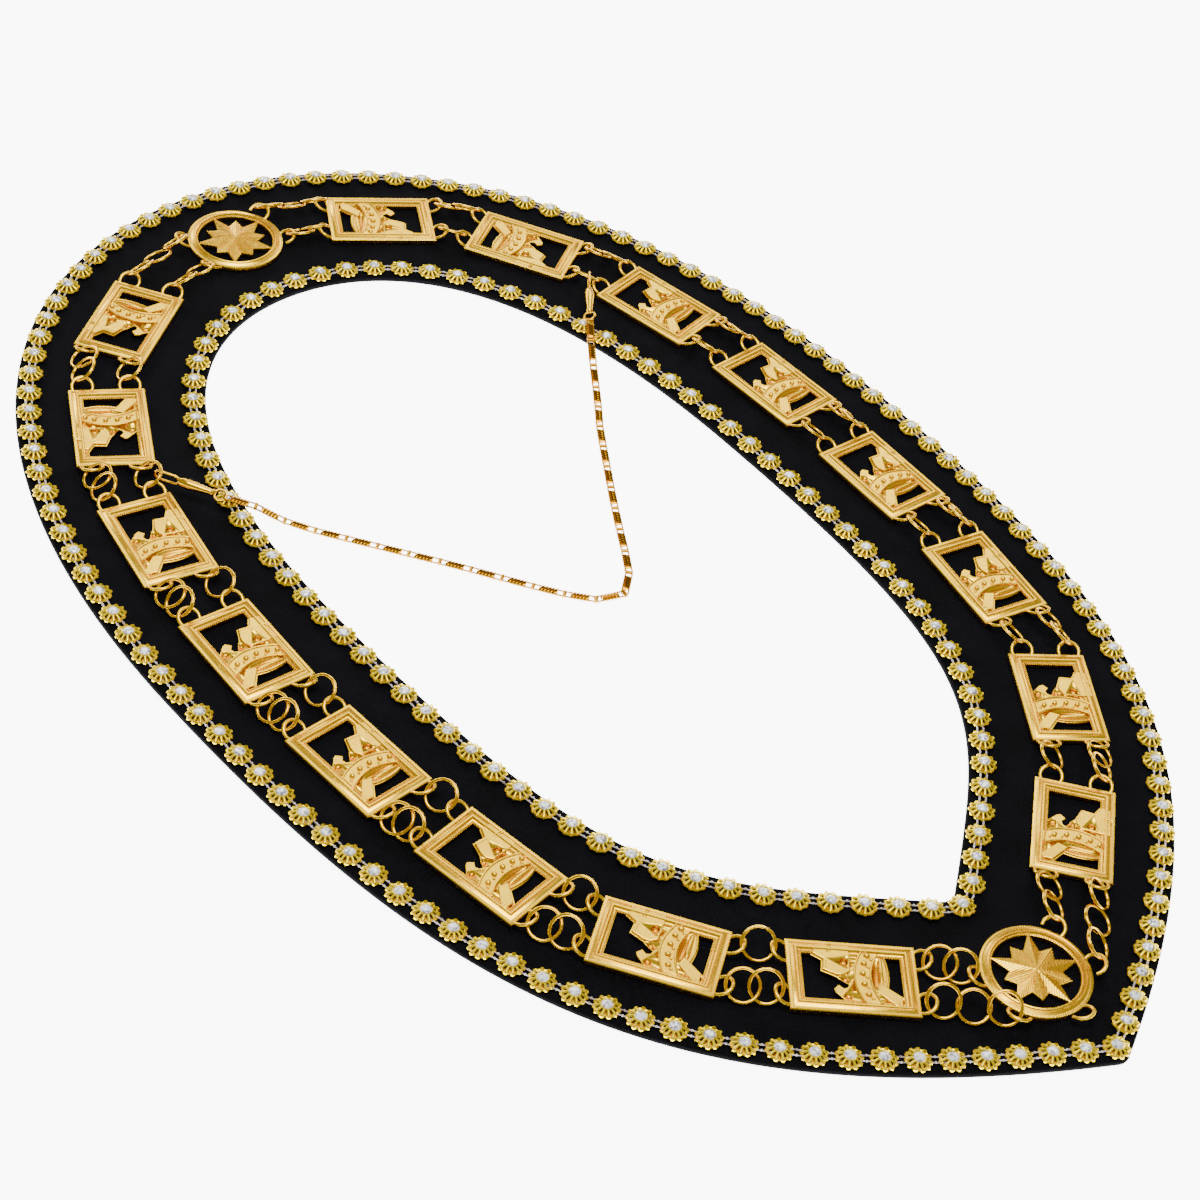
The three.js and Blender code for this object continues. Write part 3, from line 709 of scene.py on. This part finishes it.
def emblem():
    """The pierced sheet with the crown and the slanted cross, the top of the emblem toward +Y."""
    sheet = relief([
        (-10.3, -17.8), (-6.7, -17.2), (-3.1, -12.3), (0.5, -12.9), (4, -13), (7.5, -12.5),
        (10.4, -11.6), (10.4, 13.6), (9.3, 13.9), (7.2, 10.4), (2.6, 10.9), (1.4, 8), (0.3, 5.6),
        (-0.7, 4.5), (-1.6, 3), (-2.7, 1.4), (-3.8, 1.9), (-4.3, 3.3), (-2.9, 5), (-4.8, 6.8),
        (-6.3, 6.2), (-8, 4.4), (-9.6, 2.9), (-10.3, 2.6),
    ], 0.3, 1.45, 0.2)
    for place, size, lean in (
        ((-7.9, 1.9, 1.5), (3.9, 2.9), 25), ((-0.6, 2.4, 1.5), (3.4, 2.3), 50),
        ((6.4, 2.7, 1.5), (3.2, 3.0), -10), ((-8.9, -16.2, 1.5), (2.6, 1.8), 0),
    ):
        cut(sheet, oval(place, size, 2.1, lean))
    upper_cross = relief([
        (2.4, 0.9), (0.9, 3.4), (1, 5.6), (2.9, 10.3), (7.4, 9.8), (9.6, 13.2), (13.3, 12.6),
        (13.5, 0.4), (9.5, 0.4),
    ], 1.3, 2.3, 0.3)
    cut(upper_cross, oval((6.4, 2.7, 2.6), (3.6, 3.3), 3.8, -10))
    crossbar = bar((2.9, 9.3, 2.3), (6.9, 8.9, 2.3), 0.5, 0.3)
    crossbar_right = bar((10.3, 8.2, 2.3), (13.9, 7.6, 2.6), 0.55, 0.4)
    crossbar_low = bar((10.3, 7.2, 2.3), (13.9, 6.8, 2.5), 0.45, 0.3)
    foot = relief([(-11.6, -14.9), (-10.6, -16.4), (-7, -16.4), (-1.6, -9.4), (-5.4, -8)],
                  1.3, 2.15, 0.25)
    foot_bar = bar((-12, -14.6, 2), (-9.4, -15, 2.1), 0.6, 0.5)
    top_bow = arc((-10.2, -3.4), (0.3, -0.5), (11, -3.6))
    low_bow = arc((-10.4, -9.3), (0, -6.1), (10.2, -9))
    band_points = [tuple(p) for p in top_bow] + [tuple(p) for p in reversed(low_bow)]
    crown = relief(band_points, 1.2, 2.25, 0.3)
    parts = [sheet, upper_cross, crossbar, crossbar_right, crossbar_low, foot, foot_bar, crown]
    parts.append(wire([(*p, 2.3) for p in top_bow], 0.42))
    parts.append(wire([(*p, 2.3) for p in low_bow], 0.42))
    for x, y in ((-7, -3.9), (-2.6, -2.8), (1.9, -2.6), (6.2, -3.3), (9.6, -4.6)):
        parts.append(oval((x, y - 0.9, 2.3), (2.1, 2.5), 2.0, -28))
        parts.append(oval((x - 1.6, y - 2.3, 2.2), (1.1, 1.5), 1.2, -28))
    dish = oval((2.6, -8.4, 1.6), (13.5, 3.2), 2.2, -4)
    cut(sheet, dish)
    lens = oval((4, -10, 1.5), (12.4, 1.7), 1.7, -1)
    low_rim = wire([(*p, 1.6) for p in arc((-2.8, -11.4), (4, -12.3), (10.2, -11.2))], 0.42)
    parts += [lens, low_rim]
    parts.append(relief([(-10.4, -9.4), (-10.4, -4), (-13, -0.5), (-13.2, -3)], 1.4, 2.2, 0.2))
    return parts


def wire_arc(radius, thickness, span, steps, sides):
    """A round wire bent to an arc of this span about the origin, its middle toward +X."""
    half = thickness / 2
    item = drawn([(radius + half * math.cos(2 * math.pi * k / sides), 0,
                   half * math.sin(2 * math.pi * k / sides)) for k in range(sides)])
    bpy.ops.mesh.spin(steps=steps, angle=math.radians(span), center=(0, 0, 0), axis=(0, 0, 1))
    finish_mesh(item, 75)
    middle = sum((v.co for v in item.data.vertices), Vector()) / len(item.data.vertices)
    if span < 350:
        item.data.transform(turn(-math.degrees(math.atan2(middle.y, middle.x))))
    return item


loop_span = 250
loop_sink = 0.64
loop_wire = 1.5
wire_radius = 4.05
loop_tilt = 27
loop_spread = 9.3
ridge_height = 2.9


def loop_out(radius):
    """How far the centre of a loop of this radius lies out from the edge that its ends are sunk in."""
    return -radius * math.cos(math.radians(loop_span / 2)) - loop_sink


def solder_loop(span=loop_span, swing=0):
    """A wire loop that stands out from the edge at x = 0 toward +X and tilts up a little."""
    item = wire_arc(wire_radius, loop_wire, span, 20, 8)
    item.data.transform(turn(-loop_tilt, "Y") @ shift(loop_out(wire_radius)) @ turn(swing))
    return item


def plate_model():
    """One plate with its origin at the middle of its underside, the emblem's top toward +Y."""
    parts = [plate_frame()]
    parts += rim_ribs(plate_width / 2 - rib_inset, plate_length / 2 - rib_inset, pitch=0.9,
                      width=0.68, height=1.8, rib=1.15, thickness=0.75)
    parts += lip_beads(plate_width / 2 - frame_border + lip_reach,
                       plate_length / 2 - frame_border + lip_reach,
                       pitch=0.85, height=1.95, radius=0.36)
    parts += emblem()
    loop = solder_loop()
    for end in (1, -1):
        for side in (1, -1):
            parts.append(placed(loop, shift(side * loop_spread, end * plate_length / 2,
                                            ridge_height / 2) @ turn(90 * end)))
    drop(loop)
    return joined(parts, "plate_model")


# The plates' line lies between the two edges. Each row of slips and turns is a plate on each side,
# counted from the front, as it lies: slip toward the back in millimetres, turn in degrees.
chain_share = 0.52
chain_ends = {"front": -236, "back": 239}
plate_rows = [
    (0, 1.6, 5.3, 2.1, 0), (-0.1, -1.6, 5.9, -2.5, 0), (-2, 3.9, 6.4, 0.9, 0),
    (-4.3, 0, 5.8, 0.7, 0), (-5.7, 2, 5, 0.3, 0), (-6.4, -0.4, 3.8, -1.2, 0),
    (-7.1, 1.3, 3.7, 0.3, 180), (-7.1, 1, 0.7, 2.2, 180),
]
chain_shape = {name: neck_shape[name] + (outer_shape[name] - neck_shape[name]) * chain_share
               for name in outer_shape}
chain_shape.update(chain_ends)
chain_line = half_line(edge_knots(chain_shape), 0)
chain_length = line_length(chain_line)
side_sign = {"left": -1, "right": 1}
stops = {"left": [], "right": []}
for i, (left_slip, left_turn, right_slip, right_turn, flip) in enumerate(plate_rows):
    for side, slip, lean in (("left", left_slip, left_turn), ("right", right_slip, right_turn)):
        share = (i + 1) / (len(plate_rows) + 1)
        spot, along = walk(chain_line, share * chain_length + slip * mm)
        heading = math.degrees(math.atan2(along.y, along.x)) + lean
        if side == "left":
            heading = 180 - heading
        stops[side].append((side_sign[side] * spot.x / mm, spot.y / mm, heading, flip))

# Below 3.3 to 4.1 mm height this gold goes deeper: painted shade in the recesses of plates and
# medallions.
plate_gold = gold("pale gold casting", (0.96, 0.6, 0.02, 1), (0.6, 0.19, 0.001, 1),
                  (0.22, 0.36), low=(3.3, 4.1), wear=0.15)
plate = plate_model()
plate.data.materials.clear()
plate.data.materials.append(plate_gold)
for side, places in stops.items():
    for i, (x, y, heading, flip) in enumerate(places):
        node = f"plate_{side}_{i + 1}"
        piece = placed(plate, shift(x, y, base) @ turn(heading - 90 + flip), node + "_cast")
        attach(piece, "root")
        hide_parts(node)
drop(plate)


# Medallions: cast rings with a milled edge, a polished rib and a beaded lip round a ten-pointed
# star, five long points and five short, ribbed along its short points. Wire loops are soldered on.
medallion_radius = 20
star_radii = [16.3, 9.3, 12.6, 9.3]
star_heights = [2.15, 1.5, 1.9, 1.5]
star_centre = 3.0
rib_pitch = 0.78
rim_rib_count = 138
lip_bead_count = 118
ear_angle = 27
ear_span = 222
ear_swing = 14


def medallion_ring():
    """The ring alone, with its milled edge and its beaded lip."""
    profile = [(15.7, 0, 0), (20, 0, 0), (20, 0, 1.5), (19.8, 0, 1.85), (19.1, 0, 2.05),
               (18.75, 0, 1.85), (18.55, 0, 1.95), (17.75, 0, 2.4), (17.55, 0, 2.2),
               (17.4, 0, 2.55), (17.1, 0, 2.85), (16.75, 0, 2.9), (16.5, 0, 2.6),
               (16.35, 0, 2.0), (15.75, 0, 1.75)]
    parts = [turned(profile, 96)]
    rib = bar((18.95, 0, 1.8), (19.9, 0, 1.6), 0.68, 0.75, 6)
    for i in range(rim_rib_count):
        parts.append(placed(rib, turn(360 * i / rim_rib_count)))
    bead = small_bead(16.05, 0, 1.95, 0.36)
    for i in range(lip_bead_count):
        parts.append(placed(bead, turn(360 * i / lip_bead_count)))
    drop(rib, bead)
    return parts


def star_solid():
    """The bare star, drawn from a circle with a middle, one long point toward -Y."""
    pick()
    bpy.ops.mesh.primitive_circle_add(vertices=20, fill_type="TRIFAN")
    star = bpy.context.object
    middle = min(star.data.vertices, key=lambda v: v.co.length)
    rim = [v for v in star.data.vertices if v.index != middle.index]
    rim.sort(key=lambda v: math.atan2(v.co.y, v.co.x))
    for v in rim:
        step = round(math.degrees(math.atan2(v.co.y, v.co.x) + math.pi / 2) / 18) % 20
        angle = math.radians(18 * step - 90)
        radius = star_radii[step % 4]
        v.co = Vector((radius * math.cos(angle), radius * math.sin(angle),
                       star_heights[step % 4])) * mm
    middle.co = Vector((0, 0, star_centre)) * mm
    bpy.ops.object.mode_set(mode="EDIT")
    bpy.ops.mesh.select_all(action="SELECT")
    raise_face(0)
    bpy.ops.transform.resize(value=(1, 1, 0))
    bpy.ops.object.mode_set(mode="OBJECT")
    for v in star.data.vertices:
        if v.select:
            v.co.z = 0.3 * mm
    return finish_mesh(star, 10)


def star_ribs():
    """Ribs on one fifth of the star, side by side along its short point, to be turned five times."""
    long_tip = Vector((star_radii[0] * math.cos(math.radians(36)),
                       star_radii[0] * math.sin(math.radians(36))))
    valley = Vector((star_radii[1] * math.cos(math.radians(18)),
                     star_radii[1] * math.sin(math.radians(18))))
    parts = []
    count = int(long_tip.y / rib_pitch)
    for k in range(-count, count + 1):
        across = k * rib_pitch
        away = abs(across)
        near = away / math.tan(math.radians(36))
        near_height = star_centre + (star_heights[0] - star_centre) * near / long_tip.x
        if away < valley.y:
            share = away / valley.y
            far = star_radii[2] + (valley.x - star_radii[2]) * share
            far_height = star_heights[2] + (star_heights[1] - star_heights[2]) * share
        else:
            share = (away - valley.y) / (long_tip.y - valley.y)
            far = valley.x + (long_tip.x - valley.x) * share
            far_height = star_heights[1] + (star_heights[0] - star_heights[1]) * share
        if far - near > 0.5:
            parts.append(bar((near, across, near_height), (far, across, far_height),
                             0.52, 0.5, 5))
    return joined(parts, "rib_fifth")


def medallion_model(loop_angles, name):
    """A medallion with an open wire loop at each of these angles."""
    parts = medallion_ring() + [star_solid()]
    fifth = star_ribs()
    for i in range(5):
        parts.append(placed(fifth, turn(-90 + 36 + 72 * i)))
    for angle in loop_angles:
        swing = -ear_swing if angle in (ear_angle, 180 + ear_angle) else ear_swing
        loop = solder_loop(ear_span, swing)
        loop.data.transform(turn(angle) @ shift(medallion_radius, 0, ridge_height / 2))
        parts.append(loop)
    drop(fifth)
    return joined(parts, name)


medallion_y = {"front": -233.35, "back": 239.65}
ear_angles = [ear_angle, 180 - ear_angle, 180 + ear_angle, -ear_angle]
for end, half_turn, angles in (("front", 0, ear_angles + [-90]), ("back", 180, ear_angles)):
    piece = medallion_model(angles, end + "_medallion_cast")
    piece.data.transform(shift(0, medallion_y[end], base) @ turn(half_turn))
    piece.data.materials.clear()
    piece.data.materials.append(plate_gold)
    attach(piece, "root")
    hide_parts(end + "_medallion")


# Jump rings: one to three in each strand, bent from round wire and closed with a fine saw cut,
# hanging in the soldered loops and in each other.
ring_radius = 5.8
ring_wire = 1.38
ring_span = 358.8
ring_cut_turn = 97
ring_rise = 6.2
strand_roll = 37
roll_step = 6
loop_radius = 4.6
single_ring_span = 16.75
ring_pitch = 10.5
slack_pair = 16
taut_pair = 28
slack_triple = 33
taut_triple = 40
reach_slack = 5.7
reach_taut = 7.8


def strand_rings(start, end, side):
    """Place matrices of the rings between two soldered loops, given by their centres.

    Each ring leans on the velvet. Its centre would lie ring_rise above that if it stood upright.
    """
    chord = Vector((end[0] - start[0], end[1] - start[1], 0))
    length = chord.length
    count = 1 + max(0, math.ceil((length - single_ring_span) / ring_pitch))
    more = max(count - 3, 0) * ring_pitch
    slack = slack_pair if count == 2 else slack_triple + more
    taut = taut_pair if count == 2 else taut_triple + more
    reach = length / 2
    if count > 1:
        reach = reach_slack + (reach_taut - reach_slack) * (length - slack) / (taut - slack)
    matrices = []
    for i in range(count):
        roll = strand_roll
        if count > 1:
            roll += -roll_step if i % 2 else roll_step
        share = reach if count == 1 else reach + (length - 2 * reach) * i / (count - 1)
        spot = Vector((start[0], start[1], 0)) + chord.normalized() * share
        height = base + ring_wire / 2 + ring_rise * math.sin(math.radians(roll))
        heading = math.degrees(math.atan2(chord.y, chord.x))
        matrices.append(shift(spot.x, spot.y, height) @ turn(heading)
                        @ turn(side_sign[side] * roll, "X"))
    return matrices


loop_drop = loop_out(loop_radius) * math.cos(math.radians(loop_tilt))


def plate_loop(side, stop, end, strand):
    """Centre of one of a plate's loops."""
    x, y, heading, flip = stop
    ahead = Vector((math.cos(math.radians(heading)), math.sin(math.radians(heading))))
    outward = Vector((ahead.y, -ahead.x)) * side_sign[side]
    offset = loop_spread if strand == "outer" else -loop_spread
    return Vector((x, y)) + ahead * end * (plate_length / 2 + loop_drop) + outward * offset


def medallion_loop(side, end, strand):
    """Centre of one of a medallion's loops."""
    down = (strand == "outer") == (end == "front")
    angle = -ear_angle if down else ear_angle
    if side == "left":
        angle = 180 - angle
    reach = medallion_radius + loop_drop
    return Vector((reach * math.cos(math.radians(angle)),
                   medallion_y[end] + reach * math.sin(math.radians(angle))))


ring_gold = gold("warm gold wire", (0.92, 0.56, 0.02, 1), (0.7, 0.28, 0.004, 1), (0.1, 0.22),
                 wear=0.5)
ring = wire_arc(ring_radius, ring_wire, ring_span, 36, 8)
cuts = 0
for side, places in stops.items():
    for strand in ("inner", "outer"):
        for gap in range(len(places) + 1):
            if gap == 0:
                start = medallion_loop(side, "front", strand)
            else:
                start = plate_loop(side, places[gap - 1], 1, strand)
            if gap == len(places):
                end = medallion_loop(side, "back", strand)
            else:
                end = plate_loop(side, places[gap], -1, strand)
            node = f"rings_{side}_{gap + 1}_{strand}"
            parts = []
            for matrix in strand_rings(start, end, side):
                cuts += 1
                parts.append(placed(ring, matrix @ turn(ring_cut_turn * cuts)))
            piece = joined(parts, node + "_wire")
            piece.data.materials.clear()
            piece.data.materials.append(ring_gold)
            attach(piece, "root")
            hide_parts(node)
drop(ring)


# Clips: a long wire stirrup on edge, hooked through a ring, with its ends held in a smooth tapering
# sleeve that has an eye for the keeper chain.
clip_origin = {"left": (-113.87, 126.93, 9.74), "right": (110.15, 137.09, 10.2)}
clip_aim = {"left": (-95.5, 99, 8.4), "right": (90.5, 113, 8.4)}
sleeve_start = 7.2
sleeve_length = 15
stirrup_half = 1.95
stirrup_wire_radius = 0.5
clip_eye_radius = 2.35
clip_length = 26.1


def clip_model():
    """One clip along +X, the origin where the ring sits."""
    upper = [(8.4, 0.7), (7.2, 1.2), (5.7, stirrup_half), (3.5, stirrup_half),
             (1.2, stirrup_half), (-0.8, stirrup_half), (-1.5, 1.65), (-2.05, 1.15), (-2.3, 0.5)]
    outline = [(x, 0, z) for x, z in upper] + [(x, 0, -z) for x, z in reversed(upper)]
    parts = [wire(outline, stirrup_wire_radius, 8)]
    tail = sleeve_start + sleeve_length
    profile = [(sleeve_start, 0, 0), (sleeve_start, 0, 1.2), (7.9, 0, 1.6), (9.6, 0, 1.95),
               (11.5, 0, 2.05), (14.5, 0, 1.85), (18, 0, 1.5), (20.6, 0, 1.25), (20.8, 0, 1.4),
               (21.3, 0, 1.4), (21.5, 0, 1.2), (tail - 0.2, 0, 1.1), (tail, 0, 0.9), (tail, 0, 0)]
    parts.append(turned(profile, 18, axis=(1, 0, 0)))
    eye = wire_arc(clip_eye_radius, 0.95, 357, 24, 8)
    eye.data.transform(shift(tail + 2.1) @ turn(25, "X"))
    parts.append(eye)
    return joined(parts, "clip_model")


clip = clip_model()
clip.data.materials.clear()
clip.data.materials.append(ring_gold)
clip_tail = {}
for side, origin in clip_origin.items():
    held = Vector(origin)
    heading = (Vector(clip_aim[side]) - held).normalized()
    level = Vector((0, 0, 1)).cross(heading).normalized()
    across = heading.cross(level)
    axes = Matrix((heading, level, across)).transposed().to_4x4()
    piece = placed(clip, shift(*origin) @ axes, f"clip_{side}_wire")
    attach(piece, "root")
    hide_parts("clip_" + side)
    clip_tail[side] = held + heading * clip_length
drop(clip)


# Keeper chain: long open links of deep gold wire, each with a scroll wound across its middle, the
# next one hinged on its end bar. It hooks to both clips and lies slack in the neck opening.
keeper_route = [
    (-90.5, 94.5, 5.4), (-86.5, 90, 2.5), (-81, 83.5, 0.4), (-74, 74.5, 0), (-58.5, 54.5, 0),
    (-41.5, 32.5, 0), (-22.5, 6.5, 0), (-11.5, -6.5, 0), (-3, -12.5, 0), (5, -12, 0),
    (12, -5, 0), (31, 25.5, 0), (46, 48.5, 0), (60, 69.5, 0), (69, 81, 0), (76.5, 92, 0.4),
    (81.5, 99.5, 2.5), (86, 106.5, 5.4),
]
keeper_rest = 1.5
link_pitch = 12.3
link_half_width = 1.3
link_wire_radius = 0.36
scroll_half = 3.4
scroll_turns = (-3.5, -2.2, -0.9, 0.4, 1.7)


def through(points, steps=12):
    """A smooth line through points, in metres, with each point's neighbours as its slope."""
    ends = [points[0] * 2 - points[1]] + points + [points[-1] * 2 - points[-2]]
    line = []
    for before, start, end, after in zip(ends, ends[1:], ends[2:], ends[3:]):
        reach = (end - start).length
        lead = (end - before).normalized() * reach / 3
        trail = (after - start).normalized() * reach / 3
        line += interpolate_bezier(start, start + lead, end - trail, end, steps)[:-1]
    return line + [points[-1]]


def link_model(length):
    """One link along +X, centred, with its end bar and its wound scroll."""
    half, rail = length / 2, link_half_width
    outline = [(-half - 0.3, -0.9), (-half + 0.4, -rail), (-half + 2, -rail), (0, -rail),
               (half - 2, -rail), (half - 0.4, -rail), (half + 0.3, -0.9)]
    outline = [(x, y, 0) for x, y in outline] + [(x, -y, 0) for x, y in reversed(outline)]
    parts = [wire(outline, link_wire_radius, closed=True)]
    parts.append(bar((-scroll_half, 0, 0), (scroll_half, 0, 0), 2.7, 1.3, 10))
    for start in scroll_turns:
        bow = [(start, -1.4, 0.1), (start + 0.15, -0.9, 0.75), (start + 0.7, 0, 0.95),
               (start + 1.25, 0.9, 0.75), (start + 1.6, 1.4, 0.1)]
        parts.append(wire(bow, link_wire_radius, 4))
        parts.append(wire([(x, -y, -z) for x, y, z in bow], link_wire_radius, 4))
    parts.append(bar((half, -1.5, 0), (half, 1.5, 0), 1.5, 1.3, 8))
    return joined(parts, "link_model")


route = [clip_tail["left"] * mm]
route += [Vector((x, y, keeper_rest + rise)) * mm for x, y, rise in keeper_route]
route.append(clip_tail["right"] * mm)
keeper_line = through(route)
keeper_length = line_length(keeper_line) / mm
link_count = round(keeper_length / link_pitch)
pitch = keeper_length / link_count
link = link_model(pitch)
parts = []
for i in range(link_count):
    first, along = walk(keeper_line, i * pitch * mm)
    last, along = walk(keeper_line, (i + 1) * pitch * mm)
    ahead = (last - first).normalized()
    level = Vector((0, 0, 1)).cross(ahead).normalized()
    axes = Matrix((ahead, level, ahead.cross(level))).transposed().to_4x4()
    parts.append(placed(link, Matrix.Translation((first + last) / 2) @ axes))
drop(link)
keeper_gold = gold("deep gold chain", (0.5, 0.24, 0.002, 1), (0.28, 0.1, 0.001, 1), (0.12, 0.26),
                   wear=0.5)
keeper = joined(parts, "keeper_links")
keeper.data.materials.clear()
keeper.data.materials.append(keeper_gold)
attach(keeper, "root")
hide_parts("keeper_chain")


# The floor is a plain pale sheet of card, lit by broad soft lamps, and the camera stands where
# the photographer stood, above the point of the collar and to its left.
pick()
bpy.ops.mesh.primitive_plane_add(size=60)
floor = bpy.context.object
floor.name = "floor"
card, shader, nodes = new_material("white card", {
    "Specular IOR Level": 0.2, "Emission Color": (1, 1, 1, 1), "Emission Strength": 8.0})
tone = spread(nodes, grain(nodes, 300, 2), 0.3, 0.7)
feed(nodes, shader, Base_Color=blend(nodes, tone, (0.9, 0.9, 0.9, 1), (0.93, 0.93, 0.93, 1)),
     Roughness=spread(nodes, tone, 0, 1, 0.75, 0.85))
floor.data.materials.append(card)

world = bpy.data.worlds.new("studio")
bpy.context.scene.world = world
world.use_nodes = True
world.node_tree.nodes["Background"].inputs["Color"].default_value = (1, 1, 1, 1)
world.node_tree.nodes["Background"].inputs["Strength"].default_value = 0.4


def soft_lamp(name, place, size, power):
    """A soft box at this place, in metres, aimed at the collar's middle."""
    lamp = bpy.data.lights.new(name, "AREA")
    lamp.shape = "RECTANGLE"
    lamp.size, lamp.size_y = size
    lamp.energy = power
    stand = bpy.data.objects.new(name, lamp)
    bpy.context.collection.objects.link(stand)
    stand.location = place
    stand.rotation_euler = (-Vector(place)).to_track_quat("-Z", "Y").to_euler()


soft_lamp("lamp_over", (-0.1, -0.1, 1.5), (1.1, 0.8), 26)
soft_lamp("lamp_back", (0.95, 0.85, 1.15), (1.3, 0.9), 11)
soft_lamp("lamp_low", (0.3, 1.6, 0.5), (1.2, 0.3), 10)

camera_place = (-0.5885, -0.5356, 0.7362)
view_right = Vector((0.7546, -0.6414, 0.1383))
view_up = Vector((0.3711, 0.5911, 0.7161))
view_back = view_right.cross(view_up)
camera_data = bpy.data.cameras.new("camera")
camera_data.lens = 84.9
camera_data.sensor_width = 36
camera_data.clip_start = 0.01
camera = bpy.data.objects.new("camera", camera_data)
bpy.context.collection.objects.link(camera)
camera.matrix_world = (Matrix.Translation(camera_place)
                       @ Matrix((view_right, view_up, view_back)).transposed().to_4x4())
bpy.context.scene.camera = camera
